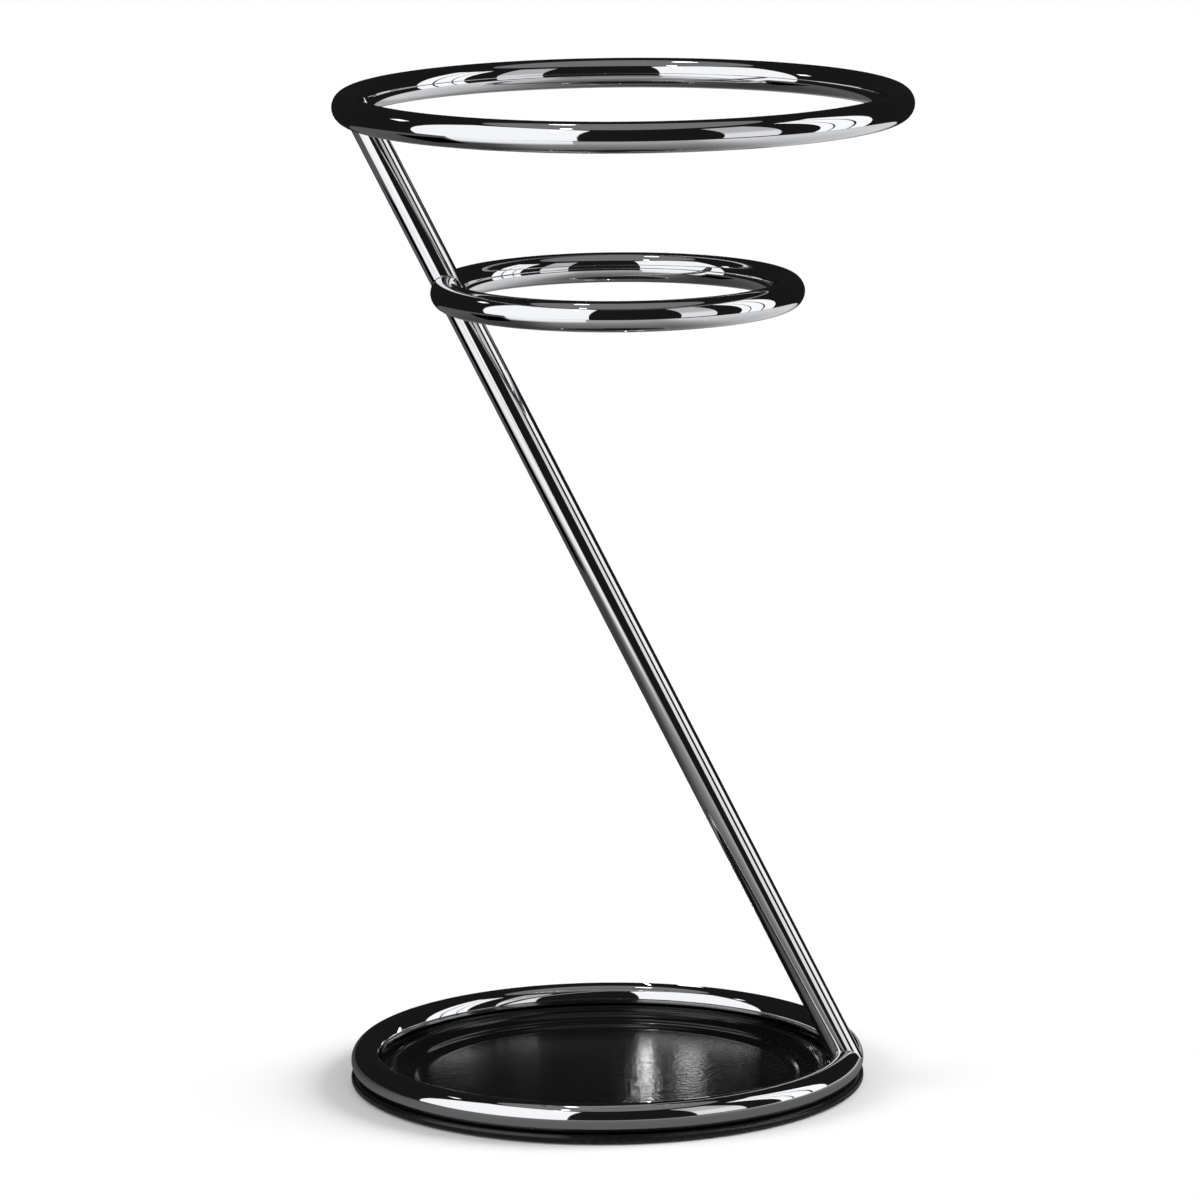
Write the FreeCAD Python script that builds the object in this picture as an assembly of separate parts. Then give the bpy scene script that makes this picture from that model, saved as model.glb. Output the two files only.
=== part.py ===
import FreeCAD, Part
import math
import os

# Leaning-post umbrella stand: three rings of one tube size on one slanted post, over a
# weighted base with a lift-out drip tray.
# Frame: millimetres, +Z up, floor at z = 0, origin on the floor under the centre of the
# mouth ring. The post leans in the XZ plane, from the base ring's +X side up to the mouth
# ring's -X side. Each piece is drawn about the centre of the base, then moved into place.

# ---- driving dimensions ---------------------------------------------------------------
TUBE_R = 8.0              # outer radius of the ring tube
POST_R = 7.9              # outer radius of the post tube, a hair less, so the cope closes
TUBE_WALL = 1.5           # wall of every chromed tube
BORE_R = TUBE_R - TUBE_WALL

BASE_RING_R = 128.0       # centreline radius of the ring on the floor
MIDDLE_RING_R = 89.5      # centreline radius of the waist ring
TOP_RING_R = 143.0        # centreline radius of the mouth ring
BASE_RING_Z = 12.3        # centreline height of the ring on the floor
TOP_RING_Z = 520.3        # centreline height of the mouth ring
MIDDLE_RING_Z = 422.3     # centreline height of the waist ring
TOP_RING_X = 12.3         # centre of the mouth ring, measured from the centre of the base
POST_SHIFT = 1.3          # the post's axis runs this far to the +X side of the rings' centrelines

WELD_BAND = 0.8           # thickness of the ground weld between a post end and a ring
VENT_R = 3.0              # drain hole in a ring wall under a post end

PLATE_R = 136.0           # outside radius of the base plate
PLATE_HOLE_R = 103.0      # hole the tray floor hangs through
PLATE_Z0 = 0.8            # underside of the base plate, carried by the foot pads
PLATE_Z1 = 5.1            # top of the base plate
PLATE_NOSE = 1.6          # rounding of the outer rim
LEDGE_Z = 2.7             # ledge the tray rests on
LEDGE_R = 117.6           # wall of the recess above the ledge

TRAY_LIP_R = 115.3        # centre radius of the tray's rolled lip
TRAY_LIP_BEAD = 1.2       # radius of the rolled lip
TRAY_LIP_Z = 7.8          # centre height of the rolled lip
TRAY_FLOOR_R = 97.2       # radius of the textured floor
TRAY_FLOOR_Z = 1.6        # top of the textured floor
TRAY_UNDER_Z = 0.4        # underside of the floor, clear of the ground
TRAY_REST_Z = 2.72        # underside of the land that sits on the ledge, 0.02 above it

# The tray's section as (radius, height) points that a smooth curve runs through.
TRAY_COVE = [(TRAY_FLOOR_R, TRAY_FLOOR_Z), (98.7, 1.72), (100.0, 2.1), (101.2, 2.8),
             (102.1, 3.45), (103.2, 3.9), (104.5, 4.08), (106.5, 4.1)]
TRAY_FLARE = [(106.5, 4.1), (108.2, 4.25), (110.0, 4.7), (111.6, 5.4), (112.9, 6.3),
              (114.3, TRAY_LIP_Z)]
TRAY_FLARE_UNDER = [(116.3, TRAY_LIP_Z), (115.7, 6.5), (114.4, 5.0), (112.7, 3.8), (110.9, 2.98),
                    (109.0, TRAY_REST_Z)]
TRAY_COVE_UNDER = [(102.6, TRAY_REST_Z), (102.3, 2.2), (101.5, 1.25), (100.1, 0.62),
                   (98.0, TRAY_UNDER_Z)]

PAD_R = 7.0               # foot pad
PAD_COUNT = 6
PAD_CIRCLE_R = 118.0
PAD_EDGE = 0.3

SCREW_COUNT = 6
SCREW_CIRCLE_R = BASE_RING_R
SCREW_R = 2.0             # M4 thread
SCREW_TOP_Z = 10.3
SCREW_HEAD_R = 3.8
SCREW_HEAD_H = 1.8        # height of the countersunk cone
SCREW_SINK = 0.2          # the head sits this far inside the plate
SOCKET_AF = 2.5           # hexagon socket, across flats
SOCKET_DEPTH = 1.2
SCREW_CLEAR_R = 2.25      # clearance hole in the plate
INSERT_R = 3.0            # body of the threaded insert
INSERT_FLANGE_R = 3.3     # reduced head, hidden under the ring
INSERT_FLANGE_Z0 = 3.6
INSERT_FLANGE_Z1 = 5.4
INSERT_TOP_Z = 11.8
INSERT_POCKET_R = 3.45    # pocket in the plate around the insert flange, inside the groove

# ---- derived positions ----------------------------------------------------------------
POST_FOOT = FreeCAD.Vector(BASE_RING_R + POST_SHIFT, 0, BASE_RING_Z)
POST_HEAD = FreeCAD.Vector(TOP_RING_X - TOP_RING_R + POST_SHIFT, 0, TOP_RING_Z)
LEAN = (POST_HEAD.x - POST_FOOT.x) / (POST_HEAD.z - POST_FOOT.z)
POST_WAIST = FreeCAD.Vector(POST_FOOT.x + LEAN * (MIDDLE_RING_Z - BASE_RING_Z), 0, MIDDLE_RING_Z)
MIDDLE_RING_X = POST_WAIST.x - POST_SHIFT + MIDDLE_RING_R
UP = FreeCAD.Vector(0, 0, 1)
ORIGIN = FreeCAD.Vector(0, 0, 0)


def torus(ring_r, tube_r, centre_x, centre_z):
    """Solid ring of round section, lying flat."""
    return Part.makeTorus(ring_r, tube_r, FreeCAD.Vector(centre_x, 0, centre_z), UP)


def post_tube(start, end):
    """Length of post tube whose axis runs from start to end."""
    axis = end - start
    outside = Part.makeCylinder(POST_R, axis.Length, start, axis)
    return outside.cut(Part.makeCylinder(POST_R - TUBE_WALL, axis.Length, start, axis))


def around(shape, count, radius, first_deg):
    """Copies of a shape modelled on the Z axis, spaced evenly on a circle about it."""
    copies = []
    for index in range(count):
        copy = shape.copy()
        copy.translate(FreeCAD.Vector(radius, 0, 0))
        copy.rotate(ORIGIN, UP, first_deg + index * 360.0 / count)
        copies.append(copy)
    return copies


def revolve(points):
    """Closed profile of (radius, height) points turned about the Z axis."""
    corners = [FreeCAD.Vector(r, 0, z) for r, z in points]
    wire = Part.makePolygon(corners + [corners[0]])
    return Part.Face(wire).revolve(ORIGIN, UP, 360)


# ---- chromed frame --------------------------------------------------------------------
def ring_tube(ring_r, centre_x, centre_z):
    """Closed ring of tube."""
    outside = torus(ring_r, TUBE_R, centre_x, centre_z)
    return outside.cut(torus(ring_r, BORE_R, centre_x, centre_z))


def vent(joint, direction):
    """Drain hole drilled from a joint into the post, so that plating fluid runs out."""
    return Part.makeCylinder(VENT_R, TUBE_R + TUBE_WALL, joint, direction)


def make_top_ring():
    ring = ring_tube(TOP_RING_R, TOP_RING_X, TOP_RING_Z)
    return ring.cut(vent(POST_HEAD, POST_FOOT - POST_HEAD))


def make_middle_ring():
    ring = ring_tube(MIDDLE_RING_R, MIDDLE_RING_X, MIDDLE_RING_Z)
    ring = ring.cut(vent(POST_WAIST, POST_FOOT - POST_HEAD))
    return ring.cut(vent(POST_WAIST, POST_HEAD - POST_FOOT))


def make_base_ring():
    ring = ring_tube(BASE_RING_R, 0, BASE_RING_Z)
    ring = ring.cut(vent(POST_FOOT, POST_HEAD - POST_FOOT))
    hole = Part.makeCylinder(INSERT_R, BASE_RING_Z, ORIGIN, UP)
    for drill in around(hole, SCREW_COUNT, SCREW_CIRCLE_R, 180.0 / SCREW_COUNT):
        ring = ring.cut(drill)
    return ring


def largest(shape):
    """The piece of tube left between two rings."""
    return max(shape.Solids, key=lambda solid: solid.Volume)


def post_between(start, end, start_ring, end_ring):
    """Tube coped to sit on a ring at each end, short by the weld."""
    tube = post_tube(start, end)
    for ring in (start_ring, end_ring):
        tube = tube.cut(torus(ring[0], TUBE_R + WELD_BAND, ring[1], ring[2]))
    return largest(tube)


def weld_band(joint, toward, ring):
    """Weld ground flush: the slice of post tube that lies within the weld of the ring."""
    reach = joint + (toward - joint).normalize() * (4 * TUBE_R)
    tube = post_tube(joint, reach)
    tube = tube.cut(torus(ring[0], TUBE_R, ring[1], ring[2]))
    return largest(tube.common(torus(ring[0], TUBE_R + WELD_BAND, ring[1], ring[2])))


BASE_RING = (BASE_RING_R, 0, BASE_RING_Z)
MIDDLE_RING = (MIDDLE_RING_R, MIDDLE_RING_X, MIDDLE_RING_Z)
TOP_RING = (TOP_RING_R, TOP_RING_X, TOP_RING_Z)


# ---- weighted base --------------------------------------------------------------------
def make_base_plate():
    """Cast annulus: rounded rim, ledge for the tray, groove for the ring, screw holes."""
    plate = revolve([(PLATE_HOLE_R, PLATE_Z0), (PLATE_R, PLATE_Z0), (PLATE_R, PLATE_Z1),
                     (LEDGE_R, PLATE_Z1), (LEDGE_R, LEDGE_Z), (PLATE_HOLE_R, LEDGE_Z)])
    rims = [edge for edge in plate.Edges if abs(edge.BoundBox.XMax - PLATE_R) < 0.01
            and edge.BoundBox.ZLength < 0.01]
    plate = plate.makeFillet(PLATE_NOSE, rims)
    plate = plate.cut(torus(BASE_RING_R, TUBE_R, 0, BASE_RING_Z))
    hole = Part.makeCylinder(SCREW_CLEAR_R, BASE_RING_Z, ORIGIN, UP)
    pocket = Part.makeCylinder(INSERT_POCKET_R, BASE_RING_Z, FreeCAD.Vector(0, 0, INSERT_FLANGE_Z0), UP)
    sink = Part.makeCylinder(SCREW_HEAD_R, PLATE_Z0 + SCREW_SINK, ORIGIN, UP)
    drill = hole.fuse(pocket).fuse(sink).fuse(screw_head())
    for cutter in around(drill, SCREW_COUNT, SCREW_CIRCLE_R, 180.0 / SCREW_COUNT):
        plate = plate.cut(cutter)
    return plate


def screw_head():
    """Countersunk cone."""
    base = FreeCAD.Vector(0, 0, PLATE_Z0 + SCREW_SINK)
    return Part.makeCone(SCREW_HEAD_R, SCREW_R, SCREW_HEAD_H, base, UP)


def hexagon(across_flats, height, z0):
    """Hexagonal prism on the Z axis."""
    corner_r = across_flats / math.sqrt(3)
    corners = []
    for index in range(7):
        angle = math.radians(60 * index)
        corners.append(FreeCAD.Vector(corner_r * math.cos(angle), corner_r * math.sin(angle), z0))
    return Part.Face(Part.makePolygon(corners)).extrude(FreeCAD.Vector(0, 0, height))


def make_base_screws():
    """Countersunk screws with hexagon sockets, driven up from below."""
    head_z = PLATE_Z0 + SCREW_SINK
    shank = Part.makeCylinder(SCREW_R, SCREW_TOP_Z - head_z, FreeCAD.Vector(0, 0, head_z), UP)
    screw = shank.fuse(screw_head()).removeSplitter()
    screw = screw.cut(hexagon(SOCKET_AF, SOCKET_DEPTH, head_z))
    return Part.makeCompound(around(screw, SCREW_COUNT, SCREW_CIRCLE_R, 180.0 / SCREW_COUNT))


def make_thread_inserts():
    """Flanged threaded inserts set in the underside of the base ring."""
    flange_z = FreeCAD.Vector(0, 0, INSERT_FLANGE_Z0)
    inserts = []
    flange = Part.makeCylinder(INSERT_FLANGE_R, INSERT_FLANGE_Z1 - INSERT_FLANGE_Z0, flange_z, UP)
    body = Part.makeCylinder(INSERT_R, INSERT_TOP_Z - INSERT_FLANGE_Z0, flange_z, UP)
    bore = Part.makeCylinder(SCREW_R, INSERT_TOP_Z, ORIGIN, UP)
    bodies = around(body, SCREW_COUNT, SCREW_CIRCLE_R, 180.0 / SCREW_COUNT)
    bores = around(bore, SCREW_COUNT, SCREW_CIRCLE_R, 180.0 / SCREW_COUNT)
    flanges = around(flange, SCREW_COUNT, SCREW_CIRCLE_R, 180.0 / SCREW_COUNT)
    ring = torus(BASE_RING_R, TUBE_R, 0, BASE_RING_Z)
    for part_body, part_bore, part_flange in zip(bodies, bores, flanges):
        inserts.append(part_flange.cut(ring).fuse(part_body).cut(part_bore).removeSplitter())
    return Part.makeCompound(inserts)


def make_foot_pads():
    """Rubber pads stuck under the base plate."""
    pad = Part.makeCylinder(PAD_R, PLATE_Z0, ORIGIN, UP)
    rim = [edge for edge in pad.Edges if abs(edge.BoundBox.ZMax) < 0.01]
    pad = pad.makeFillet(PAD_EDGE, rim)
    return Part.makeCompound(around(pad, PAD_COUNT, PAD_CIRCLE_R, 0))


# ---- drip tray ------------------------------------------------------------------------
def section_curve(points, start_flat, end_flat):
    """Smooth edge through (radius, height) points, level at either end where asked."""
    spots = [FreeCAD.Vector(r, 0, z) for r, z in points]
    curve = Part.BSplineCurve()
    start = (spots[1] - spots[0]).normalize()
    end = (spots[-1] - spots[-2]).normalize()
    if start_flat:
        start = FreeCAD.Vector(math.copysign(1, start.x), 0, 0)
    if end_flat:
        end = FreeCAD.Vector(math.copysign(1, end.x), 0, 0)
    curve.interpolate(Points=spots, InitialTangent=start, FinalTangent=end)
    return curve.toShape()


def section_line(start, end):
    """Straight edge between two (radius, height) points."""
    return Part.makeLine(FreeCAD.Vector(start[0], 0, start[1]), FreeCAD.Vector(end[0], 0, end[1]))


def make_drip_tray():
    """Thin dish: floor, cove, land on the ledge, flared wall and rolled lip."""
    edges = [section_line((0, TRAY_FLOOR_Z), TRAY_COVE[0]),
             section_curve(TRAY_COVE, True, True),
             section_curve(TRAY_FLARE, True, False),
             section_line(TRAY_FLARE[-1], TRAY_FLARE_UNDER[0]),
             section_curve(TRAY_FLARE_UNDER, False, True),
             section_line(TRAY_FLARE_UNDER[-1], TRAY_COVE_UNDER[0]),
             section_curve(TRAY_COVE_UNDER, False, True),
             section_line(TRAY_COVE_UNDER[-1], (0, TRAY_UNDER_Z)),
             section_line((0, TRAY_UNDER_Z), (0, TRAY_FLOOR_Z))]
    dish = Part.Face(Part.Wire(edges)).revolve(ORIGIN, UP, 360)
    bead = Part.makeTorus(TRAY_LIP_R, TRAY_LIP_BEAD, FreeCAD.Vector(0, 0, TRAY_LIP_Z), UP)
    return dish.fuse(bead).removeSplitter()


# ---- write ----------------------------------------------------------------------------
def main():
    os.makedirs("parts", exist_ok=True)
    nodes = {
        "top_ring": make_top_ring(),
        "middle_ring": make_middle_ring(),
        "base_ring": make_base_ring(),
        "upper_post": post_between(POST_WAIST, POST_HEAD, MIDDLE_RING, TOP_RING),
        "lower_post": post_between(POST_FOOT, POST_WAIST, BASE_RING, MIDDLE_RING),
        "weld_top": weld_band(POST_HEAD, POST_WAIST, TOP_RING),
        "weld_middle_upper": weld_band(POST_WAIST, POST_HEAD, MIDDLE_RING),
        "weld_middle_lower": weld_band(POST_WAIST, POST_FOOT, MIDDLE_RING),
        "weld_base": weld_band(POST_FOOT, POST_WAIST, BASE_RING),
        "base_plate": make_base_plate(),
        "base_screws": make_base_screws(),
        "thread_inserts": make_thread_inserts(),
        "foot_pads": make_foot_pads(),
        "drip_tray": make_drip_tray(),
    }
    for name, shape in nodes.items():
        shape.translate(FreeCAD.Vector(-TOP_RING_X, 0, 0))
        print(name, "valid", shape.isValid(), "solids", len(shape.Solids),
              "volume", round(shape.Volume, 1))
        shape.exportStep(os.path.join("parts", name + ".step"))


main()
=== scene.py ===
import math

import bmesh
import bpy
import numpy as np
from mathutils import Matrix, Vector, noise


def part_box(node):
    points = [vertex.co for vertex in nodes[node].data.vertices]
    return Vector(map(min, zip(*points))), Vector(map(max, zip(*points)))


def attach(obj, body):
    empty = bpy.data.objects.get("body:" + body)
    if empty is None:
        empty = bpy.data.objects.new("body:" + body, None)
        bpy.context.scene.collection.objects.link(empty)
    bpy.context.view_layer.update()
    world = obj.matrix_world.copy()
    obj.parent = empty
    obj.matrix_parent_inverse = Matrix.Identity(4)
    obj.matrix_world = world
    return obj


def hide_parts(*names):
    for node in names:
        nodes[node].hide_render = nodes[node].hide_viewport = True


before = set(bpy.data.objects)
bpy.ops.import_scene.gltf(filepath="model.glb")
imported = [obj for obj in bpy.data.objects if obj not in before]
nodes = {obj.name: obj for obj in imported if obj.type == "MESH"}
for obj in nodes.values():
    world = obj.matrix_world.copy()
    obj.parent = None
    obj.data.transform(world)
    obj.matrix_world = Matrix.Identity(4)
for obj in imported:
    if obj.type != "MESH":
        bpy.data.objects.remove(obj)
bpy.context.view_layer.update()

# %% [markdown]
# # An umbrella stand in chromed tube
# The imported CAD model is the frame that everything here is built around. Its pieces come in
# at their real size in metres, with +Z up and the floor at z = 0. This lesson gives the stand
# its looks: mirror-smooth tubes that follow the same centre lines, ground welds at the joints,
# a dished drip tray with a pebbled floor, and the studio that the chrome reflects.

scene = bpy.context.scene
MM = 0.001
STAND = "stand"
TRAY = "tray"


def to_linear(hex_code):
    """An sRGB hex colour as the linear red, green, blue and alpha that Blender's nodes take."""
    channels = [int(hex_code[i:i + 2], 16) / 255 for i in (1, 3, 5)]
    linear = [c / 12.92 if c <= 0.04045 else ((c + 0.055) / 1.055) ** 2.4 for c in channels]
    return (*linear, 1.0)


# %% [markdown]
# ## Reading the tubes' centre lines from the frame
# A ring of tube is known from its box: half the width less the tube's radius is the centre
# line's radius, and half the height is the tube's own radius. The leaning post runs from the
# right of the base ring to the left of the mouth ring, 1.3 mm to the right of their centre
# lines, so its direction needs no number of its own.

# %% Ring and post geometry
def ring_from_box(node):
    """Centre, centre-line radius and tube radius of a ring, in metres."""
    low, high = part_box(node)
    tube = (high.z - low.z) / 2
    radius = (high.y - low.y) / 2 - tube
    return (low + high) / 2, radius, tube


TOP_CENTRE, TOP_RADIUS, TUBE = ring_from_box("top_ring")
MIDDLE_CENTRE, MIDDLE_RADIUS, _ = ring_from_box("middle_ring")
BASE_CENTRE, BASE_RADIUS, _ = ring_from_box("base_ring")
POST_TUBE = 7.9 * MM
POST_SHIFT = 1.3 * MM
POST_FOOT = BASE_CENTRE + Vector((BASE_RADIUS + POST_SHIFT, 0, 0))
POST_HEAD = TOP_CENTRE - Vector((TOP_RADIUS - POST_SHIFT, 0, 0))
POST_AXIS = (POST_HEAD - POST_FOOT).normalized()
POST_WAIST = POST_FOOT + POST_AXIS * ((MIDDLE_CENTRE.z - POST_FOOT.z) / POST_AXIS.z)
print("tube radius", round(TUBE * 1000, 2), "mm; post leans",
      round(math.degrees(math.acos(POST_AXIS.z)), 1), "degrees")


# %% [markdown]
# ## One helper for shader nodes
# A material is a small graph. This helper adds one node, sets its values and joins its
# inputs, so that each material below reads as a list of what it is made of.

# %% Node helper and material start
def add_node(tree, kind, settings=None, inputs=None):
    """Adds a node, sets its properties, and fills or links its inputs by name or number."""
    node = tree.nodes.new(kind)
    for key, value in (settings or {}).items():
        setattr(node, key, value)
    for key, value in (inputs or {}).items():
        if isinstance(value, bpy.types.NodeSocket):
            tree.links.new(value, node.inputs[key])
        else:
            node.inputs[key].default_value = value
    return node


def start_material(name, colour, roughness, metallic=0.0, ior=1.5):
    """A material with one Principled shader, and Object coordinates in metres."""
    material = bpy.data.materials.new(name)
    material.use_nodes = True
    tree = material.node_tree
    shader = tree.nodes["Principled BSDF"]
    shader.inputs["Base Color"].default_value = to_linear(colour)
    shader.inputs["Roughness"].default_value = roughness
    shader.inputs["Metallic"].default_value = metallic
    if not metallic:
        shader.inputs["IOR"].default_value = ior
    place = add_node(tree, "ShaderNodeTexCoord").outputs["Object"]
    return material, tree, shader, place


def per_metre(millimetres):
    """Texture scale whose feature is this many millimetres wide."""
    return 1000.0 / millimetres


print("a pattern 2 mm wide takes a scale of", per_metre(2))


# %% [markdown]
# ## Polished chrome plate
# Bright nickel-chrome over polished steel tube is a mirror with a faint blue-grey cast. It
# owes its life to what it reflects, so the shader stays simple: full metal, very low
# roughness. Two slight faults keep it from looking computed: handling haze that lifts the
# roughness in soft patches about 40 mm wide, and the long, low waves that rolling leaves in
# the tube, here 30 mm long and a few hundredths of a millimetre high.

# %% Chrome material
CHROME_HAZE_MM = 40
HAZE_FROM, HAZE_TO = 0.35, 0.75         # the span of the noise that turns into haze
CHROME_ROUGHNESS = (0.015, 0.045)       # where it is clear, and where it is hazed
CHROME_WAVE_MM = 30
CHROME_WAVE_HEIGHT = 0.03 * MM
WELD_ROUGHNESS = (0.03, 0.07)
WELD_WAVE_MM = 6
WELD_WAVE_HEIGHT = 0.01 * MM


def chrome_material(name, colour, roughness, wave_mm, wave_height):
    """Chrome plate that is a little hazed in patches and waves slightly."""
    material, tree, shader, place = start_material(name, colour, roughness[0], metallic=1.0)
    haze = add_node(tree, "ShaderNodeTexNoise", {}, {
        "Vector": place, "Scale": per_metre(CHROME_HAZE_MM), "Detail": 3.0})
    spread = add_node(tree, "ShaderNodeMapRange", {}, {
        "Value": haze.outputs["Fac"], "From Min": HAZE_FROM, "From Max": HAZE_TO,
        "To Min": roughness[0], "To Max": roughness[1]})
    tree.links.new(spread.outputs["Result"], shader.inputs["Roughness"])
    wave = add_node(tree, "ShaderNodeTexNoise", {}, {
        "Vector": place, "Scale": per_metre(wave_mm), "Detail": 1.0})
    bump = add_node(tree, "ShaderNodeBump", {}, {
        "Strength": 1.0, "Distance": wave_height, "Height": wave.outputs["Fac"]})
    tree.links.new(bump.outputs["Normal"], shader.inputs["Normal"])
    return material


polished_chrome = chrome_material("Polished chrome plate on steel tube", "#DDDEE0",
                                  CHROME_ROUGHNESS, CHROME_WAVE_MM, CHROME_WAVE_HEIGHT)
weld_chrome = chrome_material("Ground weld under chrome plate", "#D4D4D6",
                              WELD_ROUGHNESS, WELD_WAVE_MM, WELD_WAVE_HEIGHT)
print("made", polished_chrome.name, "and", weld_chrome.name)

# %% [markdown]
# ## Rings of tube with Geometry Nodes
# A rolled ring is a small circle swept round a large one. Geometry Nodes says exactly that:
# a Curve Circle for the centre line, a second one for the section, and Curve to Mesh to
# sweep them. One tree with named inputs makes all three rings, so they share the same tube.
# Many steps are used along and around, because a mirror shows every flat.

# %% Ring tree
RING_STEPS = 360
TUBE_STEPS = 64


def make_ring_tree():
    tree = bpy.data.node_groups.new("Rolled tube ring", "GeometryNodeTree")
    face = tree.interface
    for name, kind, value in (("Centre line radius", "NodeSocketFloat", 0.1),
                              ("Tube radius", "NodeSocketFloat", 0.008),
                              ("Steps along", "NodeSocketInt", RING_STEPS),
                              ("Steps around", "NodeSocketInt", TUBE_STEPS),
                              ("Centre", "NodeSocketVector", (0, 0, 0)),
                              ("Material", "NodeSocketMaterial", None)):
        socket = face.new_socket(name, in_out="INPUT", socket_type=kind)
        if value is not None:
            socket.default_value = value
    face.new_socket("Geometry", in_out="OUTPUT", socket_type="NodeSocketGeometry")
    given = add_node(tree, "NodeGroupInput").outputs
    line = add_node(tree, "GeometryNodeCurvePrimitiveCircle", {"mode": "RADIUS"}, {
        "Resolution": given["Steps along"], "Radius": given["Centre line radius"]})
    section = add_node(tree, "GeometryNodeCurvePrimitiveCircle", {"mode": "RADIUS"}, {
        "Resolution": given["Steps around"], "Radius": given["Tube radius"]})
    sweep = add_node(tree, "GeometryNodeCurveToMesh", {}, {
        "Curve": line.outputs["Curve"], "Profile Curve": section.outputs["Curve"]})
    moved = add_node(tree, "GeometryNodeTransform", {}, {
        "Geometry": sweep.outputs["Mesh"], "Translation": given["Centre"]})
    smooth = add_node(tree, "GeometryNodeSetShadeSmooth", {}, {"Geometry": moved.outputs[0]})
    real = add_node(tree, "GeometryNodeRealizeInstances", {}, {"Geometry": smooth.outputs[0]})
    painted = add_node(tree, "GeometryNodeSetMaterial", {}, {
        "Geometry": real.outputs[0], "Material": given["Material"]})
    add_node(tree, "NodeGroupOutput", {}, {0: painted.outputs[0]})
    return tree


ring_tree = make_ring_tree()
print(ring_tree.name, "has", len(ring_tree.nodes), "nodes")

# %% [markdown]
# ## From a tree to a plain mesh
# A tree could stay on the object as a modifier, but a finished piece has to be a plain mesh,
# so the tree runs once on an empty carrier and its result is kept. Its faces are then turned
# outwards. Edges sharper than 35 degrees are marked sharp: a normal shared round a real corner
# would bend the reflections beside it.

# %% Mesh helpers
SHARP_EDGE_DEG = 35
MERGE_DISTANCE = 1e-6


def outward(mesh):
    """Merges doubles, turns every face outwards, and keeps real edges crisp."""
    work = bmesh.new()
    work.from_mesh(mesh)
    bmesh.ops.remove_doubles(work, verts=work.verts, dist=MERGE_DISTANCE)
    bmesh.ops.recalc_face_normals(work, faces=work.faces)
    work.to_mesh(mesh)
    work.free()
    mesh.shade_smooth()
    mesh.set_sharp_from_angle(angle=math.radians(SHARP_EDGE_DEG))
    return mesh


def bake_tree(name, tree, values):
    """Runs a tree on an empty mesh object with these inputs, and keeps the plain mesh."""
    carrier = bpy.data.objects.new(name + "_carrier", bpy.data.meshes.new(name + "_carrier"))
    scene.collection.objects.link(carrier)
    modifier = carrier.modifiers.new("tree", "NODES")
    modifier.node_group = tree
    for item in tree.interface.items_tree:
        if item.item_type == "SOCKET" and item.name in values:
            modifier[item.identifier] = values[item.name]
    graph = bpy.context.evaluated_depsgraph_get()
    mesh = bpy.data.meshes.new_from_object(carrier.evaluated_get(graph))
    bpy.data.objects.remove(carrier)
    mesh.name = name
    return outward(mesh)


def add_piece(name, mesh, material, body, stands_for):
    """Puts a finished mesh in the scene as a piece on a body, in place of CAD nodes."""
    if not mesh.materials:
        mesh.materials.append(material)
    piece = bpy.data.objects.new(name, mesh)
    scene.collection.objects.link(piece)
    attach(piece, body)
    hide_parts(*stands_for)
    print(name, len(mesh.polygons), "faces")
    return piece


print("edges over", SHARP_EDGE_DEG, "degrees stay sharp")

# %% [markdown]
# The three rings now differ only in size and place, which are read from the frame.

# %% Make the rings
for node, centre, radius in (("top_ring", TOP_CENTRE, TOP_RADIUS),
                             ("middle_ring", MIDDLE_CENTRE, MIDDLE_RADIUS),
                             ("base_ring", BASE_CENTRE, BASE_RADIUS)):
    ring_mesh = bake_tree(node + "_tube", ring_tree, {
        "Centre line radius": radius, "Tube radius": TUBE, "Steps along": RING_STEPS,
        "Steps around": TUBE_STEPS, "Centre": tuple(centre), "Material": polished_chrome})
    add_piece(node + "_tube", ring_mesh, polished_chrome, STAND, [node])


# %% [markdown]
# ## The leaning post, coped onto the rings
# A post end is filed to a saddle, called a cope, so that it sits on the round of the ring.
# A Boolean would leave ragged triangles that a mirror shows, so the saddle is worked out
# instead: from each step round the post, a line runs along the post until its distance from
# the ring's centre line is exactly the ring's tube radius. Bisection finds the spot.

# %% Saddle curve
POST_STEPS = 160
BISECTIONS = 40
SIDE = Vector((0, -1, 0))
ACROSS = POST_AXIS.cross(SIDE)


def ring_distance(point, centre, radius):
    """Distance of a point from a ring's centre line."""
    flat = math.hypot(point.x - centre.x, point.y - centre.y)
    return math.hypot(flat - radius, point.z - centre.z)


def around_post(angle):
    """Unit direction that points out of the post at this angle."""
    return SIDE * math.cos(angle) + ACROSS * math.sin(angle)


def saddle(joint, direction, centre, radius):
    """Point of the saddle for each step round the post."""
    points = []
    for step in range(POST_STEPS):
        offset = around_post(2 * math.pi * step / POST_STEPS) * POST_TUBE
        near, far = 0.0, 4 * TUBE
        for _ in range(BISECTIONS):
            middle = (near + far) / 2
            if ring_distance(joint + offset + direction * middle, centre, radius) < TUBE:
                near = middle
            else:
                far = middle
        points.append(joint + offset + direction * far)
    return points


def loops_to_mesh(name, loops):
    """Skins a list of equal loops of points with quads, and joins the last to the first."""
    count = len(loops[0])
    points = [tuple(p) for loop in loops for p in loop]
    faces = []
    for row in range(len(loops)):
        this_row = row * count
        next_row = ((row + 1) % len(loops)) * count
        for step in range(count):
            after = (step + 1) % count
            faces.append((this_row + step, this_row + after, next_row + after, next_row + step))
    mesh = bpy.data.meshes.new(name)
    mesh.from_pydata(points, [], faces)
    return outward(mesh)


foot_cope = [point.z for point in saddle(POST_FOOT, POST_AXIS, BASE_CENTRE, BASE_RADIUS)]
print("the foot's cope rises", round((max(foot_cope) - min(foot_cope)) / MM, 1), "mm")

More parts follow.
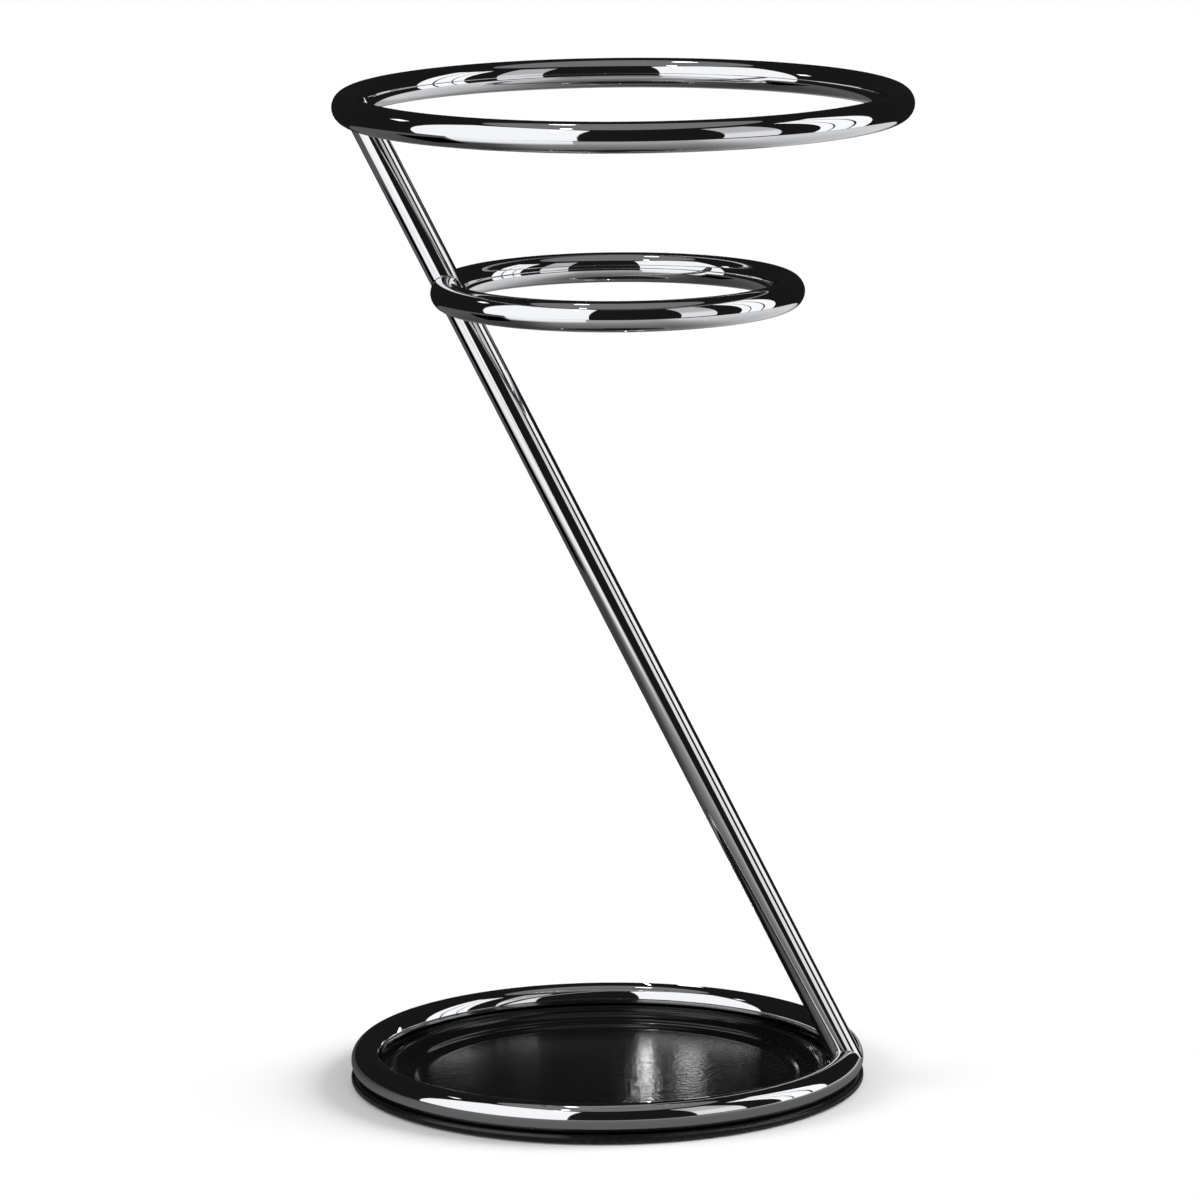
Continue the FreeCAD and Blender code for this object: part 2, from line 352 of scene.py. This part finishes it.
# %% [markdown]
# The post is a real tube with a wall, so its loops go up the outside, over the cope and back
# down the bore. Rows are spread evenly between the two saddles so the quads stay long and
# straight, which keeps the stripes of reflection straight too. The rim of each cope is a
# real edge and stays sharp, or the mirror would bend towards it.

# %% Make the two post pieces
POST_ROWS = 24
POST_WALL = 1.5 * MM


def post_mesh(name, start, end, start_ring, end_ring):
    """Tube from one joint to another, coped onto the ring at each end."""
    low = saddle(start, POST_AXIS, *start_ring)
    high = saddle(end, -POST_AXIS, *end_ring)
    outside = []
    for row in range(POST_ROWS + 1):
        share = row / POST_ROWS
        outside.append([a.lerp(b, share) for a, b in zip(low, high)])
    inside = []
    for row in (POST_ROWS, 0):
        loop = []
        for step, point in enumerate(outside[row]):
            loop.append(point - around_post(2 * math.pi * step / POST_STEPS) * POST_WALL)
        inside.append(loop)
    return loops_to_mesh(name, outside + inside)


TOP = (TOP_CENTRE, TOP_RADIUS)
MIDDLE = (MIDDLE_CENTRE, MIDDLE_RADIUS)
BASE = (BASE_CENTRE, BASE_RADIUS)
for node, start, end, start_ring, end_ring in (
        ("lower_post", POST_FOOT, POST_WAIST, BASE, MIDDLE),
        ("upper_post", POST_WAIST, POST_HEAD, MIDDLE, TOP)):
    mesh = post_mesh(node + "_tube", start, end, start_ring, end_ring)
    add_piece(node + "_tube", mesh, polished_chrome, STAND, [node])

# %% [markdown]
# ## Welds
# The post is welded to each ring, ground back to a small hollow fillet and plated over with
# the rest, so only a fine, slightly uneven line shows. The fillet follows the saddle: at each
# step it leaves the post's surface a little above the saddle, dips towards the corner, and
# meets the ring's surface a little beyond it. Where the two tubes run into each other without
# a crease, at the sides of the saddle, the fillet fades to almost nothing.

# %% Weld fillets
FILLET_LEG = 0.5 * MM
FILLET_SINK = 0.12 * MM
FILLET_STEPS = 6
FILLET_HOLLOW = 0.62                    # how far its middle lies from corner to straight line
FADE_LEAST, FADE_CREASE = 0.12, 0.7     # size with no crease, and the crease for full size
UNEVENNESS = 0.06                       # of its size, from step to step


def ring_normal(point, centre, radius):
    """Direction straight out of a ring's tube at a point on it."""
    out = Vector((point.x - centre.x, point.y - centre.y, 0)).normalized()
    return (point - (centre + out * radius)).normalized()


def weld_mesh(name, joint, direction, centre, radius, rng):
    """Fillet between the post, which leaves the joint along direction, and a ring."""
    corner = saddle(joint, direction, centre, radius)
    uneven = rng.normal(0, 1, POST_STEPS)
    kernel = np.exp(-np.linspace(-2, 2, 9) ** 2)
    padded = np.concatenate([uneven[-4:], uneven, uneven[:4]])
    uneven = np.convolve(padded, kernel / kernel.sum(), "valid")
    loops = [[] for _ in range(FILLET_STEPS + 3)]
    for step, point in enumerate(corner):
        post_out = around_post(2 * math.pi * step / POST_STEPS)
        ring_out = ring_normal(point, centre, radius)
        across = post_out - ring_out * post_out.dot(ring_out)
        crease = across.length
        across = across / crease if crease > 1e-4 else ACROSS
        fade = min(1.0, FADE_LEAST + crease / FADE_CREASE)
        leg = FILLET_LEG * fade * (1 + UNEVENNESS * float(uneven[step]))
        up = point + direction * leg
        slide = point + across * leg
        foot = slide - ring_normal(slide, centre, radius) * (
            ring_distance(slide, centre, radius) - TUBE)
        for part in range(FILLET_STEPS + 1):
            share = part / FILLET_STEPS
            reach = FILLET_HOLLOW + (1 - FILLET_HOLLOW) * (2 * share - 1) ** 2
            loops[part].append(point.lerp(up.lerp(foot, share), reach))
        loops[FILLET_STEPS + 1].append(foot - ring_out * FILLET_SINK)
        loops[FILLET_STEPS + 2].append(up - post_out * FILLET_SINK)
    return loops_to_mesh(name, loops)


for seed, (node, joint, direction, ring) in enumerate((
        ("weld_top", POST_HEAD, -POST_AXIS, TOP),
        ("weld_middle_upper", POST_WAIST, POST_AXIS, MIDDLE),
        ("weld_middle_lower", POST_WAIST, -POST_AXIS, MIDDLE),
        ("weld_base", POST_FOOT, POST_AXIS, BASE))):
    mesh = weld_mesh(node + "_fillet", joint, direction, *ring, np.random.default_rng(seed))
    add_piece(node + "_fillet", mesh, weld_chrome, STAND, [node])

# %% [markdown]
# ## Black enamel on the cast base
# The base plate is cast iron under satin black enamel. Enamel flows as it is fired, so it
# carries a soft orange peel about 3 mm across, over an almost black colour, with a clear
# but slightly spread highlight. The plate's own CAD mesh has the right shape, holes
# included, so it stays and only its material slots are filled.

# %% Enamel, rubber and zinc
WEAR_MM = 25
WEAR_FROM, WEAR_TO = 0.3, 0.7           # the span of the noise that changes the roughness


def skin_material(name, colour, roughness, grain_mm, grain_height, vary, ior=1.5, metallic=0.0):
    """A plain finish with a fine grain, and roughness that varies a little from place to place."""
    material, tree, shader, place = start_material(name, colour, roughness, metallic, ior)
    grain = add_node(tree, "ShaderNodeTexNoise", {}, {
        "Vector": place, "Scale": per_metre(grain_mm), "Detail": 2.0})
    bump = add_node(tree, "ShaderNodeBump", {}, {
        "Strength": 1.0, "Distance": grain_height, "Height": grain.outputs["Fac"]})
    tree.links.new(bump.outputs["Normal"], shader.inputs["Normal"])
    wear = add_node(tree, "ShaderNodeTexNoise", {}, {
        "Vector": place, "Scale": per_metre(WEAR_MM), "Detail": 4.0})
    spread = add_node(tree, "ShaderNodeMapRange", {}, {
        "Value": wear.outputs["Fac"], "From Min": WEAR_FROM, "From Max": WEAR_TO,
        "To Min": roughness - vary, "To Max": roughness + vary})
    tree.links.new(spread.outputs["Result"], shader.inputs["Roughness"])
    return material


black_enamel = skin_material("Satin black enamel on cast iron", "#101011", 0.26, 3.0,
                             0.02 * MM, 0.05, ior=1.52)
black_rubber = skin_material("Black moulded rubber", "#17171A", 0.75, 0.8, 0.03 * MM, 0.06)
zinc_plate = skin_material("Zinc-plated steel", "#B9BDC2", 0.28, 0.6, 0.004 * MM, 0.06,
                           metallic=1.0)


def dress(node, material):
    """Fills every material slot of a CAD node that stays in view."""
    for material_slot in nodes[node].material_slots:
        material_slot.material = material


for node, material in (("base_plate", black_enamel), ("foot_pads", black_rubber),
                       ("base_screws", zinc_plate), ("thread_inserts", zinc_plate)):
    dress(node, material)
    print("dressed", node, "in", material.name)

# %% [markdown]
# ## The drip tray
# The tray is a thin ABS moulding: a flat floor with a pebble grain that hides drips, a glossy
# cove and wall round it, and a rolled lip. It is a turned shape, so one profile spun round
# the middle makes it. The grain is moulded in, so its larger pebbles are lifted in the
# mesh, and only the finest grain is left to the material's bump.

# %% Tray profile
TRAY_LOW, TRAY_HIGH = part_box("drip_tray")
TRAY_CENTRE = (TRAY_LOW + TRAY_HIGH) / 2
LIP_BEAD = 1.2
LIP_R = (TRAY_HIGH.x - TRAY_LOW.x) / 2 / MM - LIP_BEAD
LIP_Z = (TRAY_HIGH.z - TRAY_LOW.z) / MM - LIP_BEAD
FLOOR_R = 97.2
FLOOR_Z = 1.2
LAND_Z = 2.34
TRAY_STEPS = 480

# Radius from the tray's middle and height above its own underside, in millimetres.
COVE = [(FLOOR_R, FLOOR_Z), (98.7, 1.32), (100.0, 1.7), (101.2, 2.4), (102.1, 3.05),
        (103.2, 3.5), (104.5, 3.68), (106.5, 3.7), (108.2, 3.85), (110.0, 4.3), (111.6, 5.0),
        (112.9, 5.9), (114.1, LIP_Z - 0.2)]
UNDER = [(116.1, LIP_Z - 0.8), (115.7, 6.1), (114.4, 4.6), (112.7, 3.4), (110.9, 2.58),
         (109.0, LAND_Z), (102.6, LAND_Z), (102.3, 1.8), (101.5, 0.85), (100.1, 0.22), (98.0, 0.0)]


def smooth_through(points, steps):
    """Catmull-Rom curve through the points, with this many steps between each pair."""
    spots = [Vector(p) for p in points]
    spots = [2 * spots[0] - spots[1]] + spots + [2 * spots[-1] - spots[-2]]
    curve = []
    for before, start, end, after in zip(spots, spots[1:], spots[2:], spots[3:]):
        for step in range(steps):
            t = step / steps
            curve.append(0.5 * (2 * start + (end - before) * t
                                + (2 * before - 5 * start + 4 * end - after) * t ** 2
                                + (3 * start - before - 3 * end + after) * t ** 3))
    return [tuple(p) for p in curve + [spots[-2]]]


def arc(centre_r, centre_z, radius, from_deg, to_deg, steps):
    """Points of an arc in the profile's plane, in millimetres."""
    points = []
    for step in range(steps + 1):
        angle = math.radians(from_deg + (to_deg - from_deg) * step / steps)
        points.append((centre_r + radius * math.cos(angle), centre_z + radius * math.sin(angle)))
    return points


def tray_profile():
    """Section from the floor's edge, over the lip, and back under to the middle."""
    return smooth_through(COVE, 4) + arc(LIP_R, LIP_Z, LIP_BEAD, 190, -40, 18) + UNDER


print("tray is", round((TRAY_HIGH.x - TRAY_LOW.x) * 1000, 1), "mm across")


# %% [markdown]
# The floor is a disc of rings of points. Each point is lifted by a cell noise from Blender's
# own mathutils, which gives round pebbles like a moulded leather grain. The lift fades out
# before the cove, where the mould was polished.

# %% Tray mesh
FLOOR_ROWS = 120
PEBBLE_MM = 2.6
PEBBLE_HEIGHT = 0.10
PEBBLE_GROOVE = 0.5                     # share of a pebble that slopes down to its neighbours
PEBBLE_END = FLOOR_R - 0.3
PEBBLE_FADE_MM = 1.5


def pebble(r, angle):
    """Height of the grain in mm at a point of the floor."""
    place = Vector((r * math.cos(angle), r * math.sin(angle), 0.0)) / PEBBLE_MM
    distances, _ = noise.voronoi(place)
    edge = min(distances[1] - distances[0], PEBBLE_GROOVE) / PEBBLE_GROOVE
    fade = min(1.0, max(0.0, (PEBBLE_END - r) / PEBBLE_FADE_MM))
    return PEBBLE_HEIGHT * edge * fade


def tray_mesh():
    """The whole moulding: grained floor, wall, lip and underside, turned round its middle."""
    turns = [2 * math.pi * s / TRAY_STEPS for s in range(TRAY_STEPS)]
    loops = []
    for row in range(1, FLOOR_ROWS):
        r = FLOOR_R * row / FLOOR_ROWS
        loops.append([(r, FLOOR_Z + pebble(r, angle)) for angle in turns])
    loops += [[(r, z)] * TRAY_STEPS for r, z in tray_profile()]
    points = [(TRAY_CENTRE.x + r * math.cos(angle) * MM, TRAY_CENTRE.y + r * math.sin(angle) * MM,
               TRAY_LOW.z + z * MM) for loop in loops for (r, z), angle in zip(loop, turns)]
    faces = []
    for row in range(len(loops) - 1):
        for s in range(TRAY_STEPS):
            after = (s + 1) % TRAY_STEPS
            a, b = row * TRAY_STEPS, (row + 1) * TRAY_STEPS
            faces.append((a + s, a + after, b + after, b + s))
    hub_top, hub_under = len(points), len(points) + 1
    points.append((TRAY_CENTRE.x, TRAY_CENTRE.y, TRAY_LOW.z + FLOOR_Z * MM))
    points.append((TRAY_CENTRE.x, TRAY_CENTRE.y, TRAY_LOW.z))
    last = (len(loops) - 1) * TRAY_STEPS
    for s in range(TRAY_STEPS):
        after = (s + 1) % TRAY_STEPS
        faces.append((hub_top, after, s))
        faces.append((hub_under, last + s, last + after))
    mesh = bpy.data.meshes.new("drip_tray_moulding")
    mesh.from_pydata(points, [], faces)
    return outward(mesh)


print("a pebble stands up to", PEBBLE_HEIGHT, "mm high")

# %% [markdown]
# ## Black ABS with a polished wall and a grained floor
# One moulding, two finishes: the wall came off polished steel and is smooth and glossy, while
# the floor came off an etched face and is covered in fine beads. Two materials would need a
# hard line between them, so one material tells them apart by the distance from the tray's
# middle, from Object coordinates centred by a Mapping node.

# %% Tray material
GRIT_MM = 1.9
BEAD_TOP, BEAD_FOOT = 0.05, 0.3         # distance from a bead's middle, in bead widths
BEAD_LIFT = 2.4                         # of the bump's height
FINE_MM = 0.7
FINE_SHARE = 0.3
FLOOR_BUMP = 0.2 * MM
WALL_ROUGHNESS, FLOOR_ROUGHNESS = 0.16, 0.17


def tray_material():
    """Black plastic, smooth on the wall and beaded on the floor."""
    material, tree, shader, place = start_material("Moulded black ABS", "#0B0B0C", 0.12, ior=1.54)
    centred = add_node(tree, "ShaderNodeMapping", {}, {
        "Vector": place, "Location": (-TRAY_CENTRE.x, -TRAY_CENTRE.y, 0)})
    flat = add_node(tree, "ShaderNodeVectorMath", {"operation": "MULTIPLY"}, {
        0: centred.outputs[0], 1: (1, 1, 0)})
    reach = add_node(tree, "ShaderNodeVectorMath", {"operation": "LENGTH"}, {
        0: flat.outputs[0]})
    on_floor = add_node(tree, "ShaderNodeMapRange", {}, {
        "Value": reach.outputs["Value"], "To Min": 1.0, "To Max": 0.0,
        "From Min": (FLOOR_R - 1) * MM, "From Max": (FLOOR_R + 1) * MM})
    grit = add_node(tree, "ShaderNodeTexVoronoi", {}, {
        "Vector": place, "Scale": per_metre(GRIT_MM)})
    fine = add_node(tree, "ShaderNodeTexNoise", {}, {
        "Vector": place, "Scale": per_metre(FINE_MM), "Detail": 2.0})
    bead = add_node(tree, "ShaderNodeMapRange", {"interpolation_type": "SMOOTHSTEP"}, {
        "Value": grit.outputs["Distance"], "From Min": BEAD_TOP, "From Max": BEAD_FOOT,
        "To Min": BEAD_LIFT, "To Max": 0.0})
    height = add_node(tree, "ShaderNodeMath", {"operation": "MULTIPLY_ADD"}, {
        0: fine.outputs["Fac"], 1: FINE_SHARE, 2: bead.outputs["Result"]})
    masked = add_node(tree, "ShaderNodeMath", {"operation": "MULTIPLY"}, {
        0: height.outputs[0], 1: on_floor.outputs["Result"]})
    bump = add_node(tree, "ShaderNodeBump", {}, {
        "Strength": 1.0, "Distance": FLOOR_BUMP, "Height": masked.outputs[0]})
    tree.links.new(bump.outputs["Normal"], shader.inputs["Normal"])
    rough = add_node(tree, "ShaderNodeMapRange", {}, {
        "Value": on_floor.outputs["Result"],
        "To Min": WALL_ROUGHNESS, "To Max": FLOOR_ROUGHNESS})
    tree.links.new(rough.outputs["Result"], shader.inputs["Roughness"])
    return material


black_abs = tray_material()
add_piece("drip_tray_moulding", tray_mesh(), black_abs, TRAY, ["drip_tray"])


# %% [markdown]
# ## The studio
# Chrome has no look of its own: it shows the room. Three tall softboxes stand round a table
# about 1.4 m in radius, in an otherwise dark room, and the camera stands in the dark gap
# between the first two. They are plain glowing cards that only mirror rays can see, so they
# never stand in the way of a view. Lamps alone would leave mirror tubes black, since a lamp is
# a point in a mirror. The white floor and the world's even light are what the camera sees, and
# they are hidden from mirror rays.

# %% Stage helpers
TABLE_RADIUS = 1.43
STUDIO_TURN_DEG = 8
STUDIO_TURN = Matrix.Rotation(math.radians(STUDIO_TURN_DEG), 4, "Z")
BASE_SPOT = Matrix.Translation((BASE_CENTRE.x, BASE_CENTRE.y, 0))


def direction_to(azimuth, elevation=0.0):
    """Unit direction in the studio: azimuth 0 is towards the camera, 90 to its right."""
    az, el = math.radians(azimuth), math.radians(elevation)
    return Vector((math.sin(az) * math.cos(el), -math.cos(az) * math.cos(el), math.sin(el)))


def glow_material(name, strength):
    """Plain light of this strength."""
    material = bpy.data.materials.new(name)
    material.use_nodes = True
    tree = material.node_tree
    tree.nodes.clear()
    glow = add_node(tree, "ShaderNodeEmission", {}, {"Color": (1, 1, 1, 1), "Strength": strength})
    add_node(tree, "ShaderNodeOutputMaterial", {}, {"Surface": glow.outputs[0]})
    return material, tree, glow


def stage_mesh(name, points, faces, material):
    """A piece of the studio, laid out round the base and turned with the camera."""
    mesh = bpy.data.meshes.new(name)
    mesh.from_pydata([tuple(BASE_SPOT @ STUDIO_TURN @ Vector(p)) for p in points], [], faces)
    mesh.materials.append(material)
    thing = bpy.data.objects.new(name, mesh)
    scene.collection.objects.link(thing)
    return thing


def mirror_only(thing):
    """Only glossy rays see it: it neither hides the object nor casts a shadow."""
    thing.visible_camera = False
    thing.visible_diffuse = False
    thing.visible_transmission = False
    thing.visible_volume_scatter = False
    thing.visible_shadow = False


def softbox(name, from_az, to_az, bottom, top, strength, distance):
    """A flat card between two azimuths and two heights, at a distance from the stand."""
    facing = direction_to((from_az + to_az) / 2)
    half = distance * math.tan(math.radians((to_az - from_az) / 2))
    along = Vector((-facing.y, facing.x, 0)) * half
    centre = facing * distance
    rise = Vector((0, 0, 1))
    corners = [centre - along + rise * bottom, centre + along + rise * bottom,
               centre + along + rise * top, centre - along + rise * top]
    material = glow_material(name, strength)[0]
    card = stage_mesh(name, [tuple(c) for c in corners], [(0, 1, 2, 3)], material)
    mirror_only(card)
    return card


def shade_by_height(card, from_z, to_z, low_strength, high_strength):
    """Lets a card's glow go from one strength to another between two heights."""
    tree = card.data.materials[0].node_tree
    place = add_node(tree, "ShaderNodeTexCoord").outputs["Object"]
    height = add_node(tree, "ShaderNodeSeparateXYZ", {}, {"Vector": place}).outputs["Z"]
    ramp = add_node(tree, "ShaderNodeMapRange", {"interpolation_type": "SMOOTHSTEP"}, {
        "Value": height, "From Min": from_z, "From Max": to_z,
        "To Min": low_strength, "To Max": high_strength})
    tree.links.new(ramp.outputs["Result"], tree.nodes["Emission"].inputs["Strength"])


print("the studio is turned", STUDIO_TURN_DEG, "degrees round the base")

# %% [markdown]
# The big card on the left makes the broad white patch on every tube. The cards on the right
# make the paired stripes: a narrow one, dim but for its foot, then a bright one with thin
# frames across it. Two slim strips close behind the base streak the glossy tray.

# %% Cards
# Name, from and to azimuth in degrees, bottom and top in metres, strength, distance in metres.
CARDS = [
    ("key_softbox", -88, -17, 0.0, 2.9, 1.25, TABLE_RADIUS),
    ("narrow_card", 38, 61, 0.1, 2.3, 0.58, 1.5),
    ("side_softbox_0", 79, 85.5, 0.0, 2.15, 1.3, 1.45),
    ("side_softbox_1", 86.5, 97, 0.0, 2.15, 1.3, 1.45),
    ("side_softbox_2", 98.5, 109, 0.0, 2.15, 1.3, 1.45),
    ("small_lamp", -107, -99, 0.89, 0.99, 1.8, 0.74),
    ("slim_strip_behind", 172.25, 172.7, 0.019, 0.058, 26.0, 0.165),
    ("soft_strip_behind", 163.6, 167.6, 0.019, 0.048, 2.6, 0.185)]
FOOT_GLOW, CARD_GLOW = 0.98, 0.58
FOOT_TOP, CARD_FROM = 0.65, 1.1

cards = {card[0]: softbox(*card) for card in CARDS}
shade_by_height(cards["narrow_card"], FOOT_TOP, CARD_FROM, FOOT_GLOW, CARD_GLOW)
print("cards:", *cards)

# %% [markdown]
# The table is grey in the mirror, a glowing disc with light and shade painted on it: a painted
# shadow darkest beside the base, painted shade at the back left, brighter with distance, and
# painted light brightest on the right where the side softbox falls. The room beyond it is almost
# black.

# %% Table light
# Direction across the studio, from and to distance in metres, then the values at each end.
BACK_LEFT_SHADE = ((-0.82, 0.57), 0.02, 0.28, 1.0, 0.25)
RIGHT_LIGHT = ((0.95, 0.3), 0.1, 0.45, 0.0, 0.36)
KEY_SPILL = ((-0.72, -0.69), 0.48, 0.85, 0.30, 1.15)
# The table's glow is dimmest near the stand: a painted shadow beside the base that fades with
# distance.
TABLE_REACH = (0.13, 0.9)               # near and far distance in metres
TABLE_GLOW = (0.14, 0.46)               # strength at each


def lit_side(tree, place, direction, from_reach, to_reach, low, high):
    """A value that goes from low to high with distance along a direction of the studio."""
    turned = STUDIO_TURN @ Vector((*direction, 0.0)).normalized()
    along = add_node(tree, "ShaderNodeVectorMath", {"operation": "DOT_PRODUCT"}, {
        0: place, 1: tuple(turned)})
    ramp = add_node(tree, "ShaderNodeMapRange", {"interpolation_type": "SMOOTHSTEP"}, {
        "Value": along.outputs["Value"], "From Min": from_reach, "From Max": to_reach,
        "To Min": low, "To Max": high})
    return ramp.outputs["Result"]


def table_glow():
    """Grey that brightens away from a painted shadow by the base, with painted shade back left and
    painted light on the right.
    """
    material, tree, glow = glow_material("table_painted_light_and_shade", 0.2)
    place = add_node(tree, "ShaderNodeTexCoord").outputs["Object"]
    reach = add_node(tree, "ShaderNodeVectorMath", {"operation": "LENGTH"}, {0: place})
    outward_glow = add_node(tree, "ShaderNodeMapRange", {}, {
        "Value": reach.outputs["Value"], "From Min": TABLE_REACH[0], "From Max": TABLE_REACH[1],
        "To Min": TABLE_GLOW[0], "To Max": TABLE_GLOW[1]})
    shaded = add_node(tree, "ShaderNodeMath", {"operation": "MULTIPLY"}, {
        0: outward_glow.outputs["Result"],
        1: lit_side(tree, place, *BACK_LEFT_SHADE)})
    total = add_node(tree, "ShaderNodeMath", {"operation": "ADD"}, {
        0: shaded.outputs[0], 1: lit_side(tree, place, *RIGHT_LIGHT)})
    tree.links.new(total.outputs[0], glow.inputs["Strength"])
    return material


def spill_glow():
    """Light that spills from the key softbox onto the table in front of it."""
    material, tree, glow = glow_material("key_spill_on_table", 1.0)
    place = add_node(tree, "ShaderNodeTexCoord").outputs["Object"]
    tree.links.new(lit_side(tree, place, *KEY_SPILL), glow.inputs["Strength"])
    return material


print("the table glows from", *TABLE_GLOW, "with distance")

# %% [markdown]
# The table, the dark room and its ceiling are simple shapes: a disc, a box and a disc. Patches
# on the table stand for the key softbox's spill and for the black foot of a lamp stand. Three
# small spot lamps overhead give the star-like glints on the rings.

# %% Table and room
TABLE_DROP = 0.001
DISC_STEPS = 96
SPOT_STEPS = 24
ROOM = 7.0
ROOM_GLOW = 0.012
CEILING_RADIUS, CEILING_HEIGHT, CEILING_GLOW = 1.6, 3.4, 0.22
SPOT_GLOW = 8.0
# Name, azimuth and elevation in degrees, distance and radius in metres.
SPOTS = [("spot_overhead", -152, 71, 1.6, 0.06), ("spot_high", -36, 64, 1.9, 0.06),
         ("spot_low", -31, 47, 1.6, 0.05)]


def disc_points(radius, z, steps=DISC_STEPS):
    """Points round a level circle."""
    turn = 2 * math.pi / steps
    return [(radius * math.cos(turn * s), radius * math.sin(turn * s), z) for s in range(steps)]


def disc(name, radius, z, material):
    """A level disc that only mirrors see."""
    mirror_only(stage_mesh(name, disc_points(radius, z), [tuple(range(DISC_STEPS))], material))


def table_patch(name, from_az, to_az, from_reach, to_reach, material):
    """A piece of the table between two azimuths and two distances from the stand."""
    corners = ((from_az, from_reach), (from_az, to_reach), (to_az, to_reach), (to_az, from_reach))
    rim = [tuple(direction_to(az) * reach) for az, reach in corners]
    mirror_only(stage_mesh(name, rim, [(0, 1, 2, 3)], material))


def spot_lamp(name, azimuth, elevation, distance, radius):
    """A small bright disc that faces the stand from this direction."""
    toward = direction_to(azimuth, elevation)
    turn = toward.to_track_quat("Z", "Y")
    middle = toward * distance + Vector((0, 0, TOP_CENTRE.z))
    rim = [tuple(middle + turn @ Vector(p)) for p in disc_points(radius, 0.0, SPOT_STEPS)]
    material = glow_material(name, SPOT_GLOW)[0]
    mirror_only(stage_mesh(name, rim, [tuple(range(SPOT_STEPS))], material))


disc("table", TABLE_RADIUS, -TABLE_DROP, table_glow())
table_patch("key_spill", -73, -19, 0.62, 1.6, spill_glow())
table_patch("lamp_stand_foot", -106, -76, 0.46, 1.0, glow_material("black_stand", 0.0)[0])

room_points = [(x, y, z) for x in (-ROOM, ROOM) for y in (-ROOM, ROOM) for z in (-ROOM, ROOM)]
room_faces = [(0, 1, 3, 2), (4, 6, 7, 5), (0, 4, 5, 1), (2, 3, 7, 6), (0, 2, 6, 4), (1, 5, 7, 3)]
room_material = glow_material("dark_room", ROOM_GLOW)[0]
mirror_only(stage_mesh("dark_room", room_points, room_faces, room_material))
disc("ceiling_bounce", CEILING_RADIUS, CEILING_HEIGHT,
     glow_material("ceiling_bounce", CEILING_GLOW)[0])
for spot in SPOTS:
    spot_lamp(*spot)
print("room", 2 * ROOM, "m wide, with", len(SPOTS), "spot lamps")

# %% [markdown]
# The floor is a plain white sweep. World light reaches it evenly from every side. Two broad,
# low lights, a stronger one from the right and a weaker one from the left, add the softly
# darker floor at either side of the base.

# %% Floor and world
FLOOR = 30.0
WORLD_STRENGTH = 0.50
LIGHT_SPREAD_DEG = 40
# Name, azimuth and elevation in degrees, share of full white that it gives the floor.
LOW_LIGHTS = [("light_right", 99, 29, 0.50), ("light_left", -82, 30, 0.20)]

floor_material = start_material("White paper sweep", "#F4F4F4", 0.9)[0]
floor = stage_mesh("floor", [(-FLOOR, -FLOOR, 0), (FLOOR, -FLOOR, 0), (FLOOR, FLOOR, 0),
                             (-FLOOR, FLOOR, 0)], [(0, 1, 2, 3)], floor_material)
floor.visible_glossy = False


def low_light(name, azimuth, elevation, share):
    """A broad distant light that gives the floor this share of full white."""
    toward = direction_to(azimuth, elevation)
    data = bpy.data.lights.new(name, "SUN")
    data.angle = math.radians(LIGHT_SPREAD_DEG)
    data.energy = share * math.pi / toward.z
    lamp = bpy.data.objects.new(name, data)
    lamp.matrix_world = STUDIO_TURN @ toward.to_track_quat("Z", "Y").to_matrix().to_4x4()
    lamp.visible_glossy = False
    scene.collection.objects.link(lamp)


for light in LOW_LIGHTS:
    low_light(*light)

world = bpy.data.worlds.new("soft_studio")
scene.world = world
world.use_nodes = True
world.node_tree.nodes["Background"].inputs["Color"].default_value = (1, 1, 1, 1)
world.node_tree.nodes["Background"].inputs["Strength"].default_value = WORLD_STRENGTH
world.cycles_visibility.glossy = False
scene.view_settings.view_transform = "Standard"
print("floor light adds up to", WORLD_STRENGTH + sum(light[3] for light in LOW_LIGHTS))

# %% [markdown]
# ## The camera
# A long lens from 3.6 m away, 0.4 m above the mouth ring and tilted down by about eleven
# degrees, keeps the rings' ovals flat and the post's sides parallel. A shorter lens from close
# by would open the base ring's oval much more than the mouth ring's.

# %% Camera
CAMERA_LENS_MM = 208.9
CAMERA_SIDE, CAMERA_DISTANCE, CAMERA_RISE = -0.00215, 3.5855, 0.4227
CAMERA_TILT_DEG, CAMERA_ROLL_DEG = 10.8, -0.4756

camera_data = bpy.data.cameras.new("camera")
camera_data.lens = CAMERA_LENS_MM
camera_data.sensor_width = 36.0
camera_data.clip_end = 100.0
camera = bpy.data.objects.new("camera", camera_data)
scene.collection.objects.link(camera)
place = Matrix.Translation((CAMERA_SIDE, -CAMERA_DISTANCE, TOP_CENTRE.z + CAMERA_RISE))
tilt = Matrix.Rotation(math.radians(90 - CAMERA_TILT_DEG), 4, "X")
roll = Matrix.Rotation(math.radians(CAMERA_ROLL_DEG), 4, "Z")
camera.matrix_world = BASE_SPOT @ STUDIO_TURN @ place @ tilt @ roll
scene.camera = camera
print("camera at", [round(v, 3) for v in camera.matrix_world.translation])
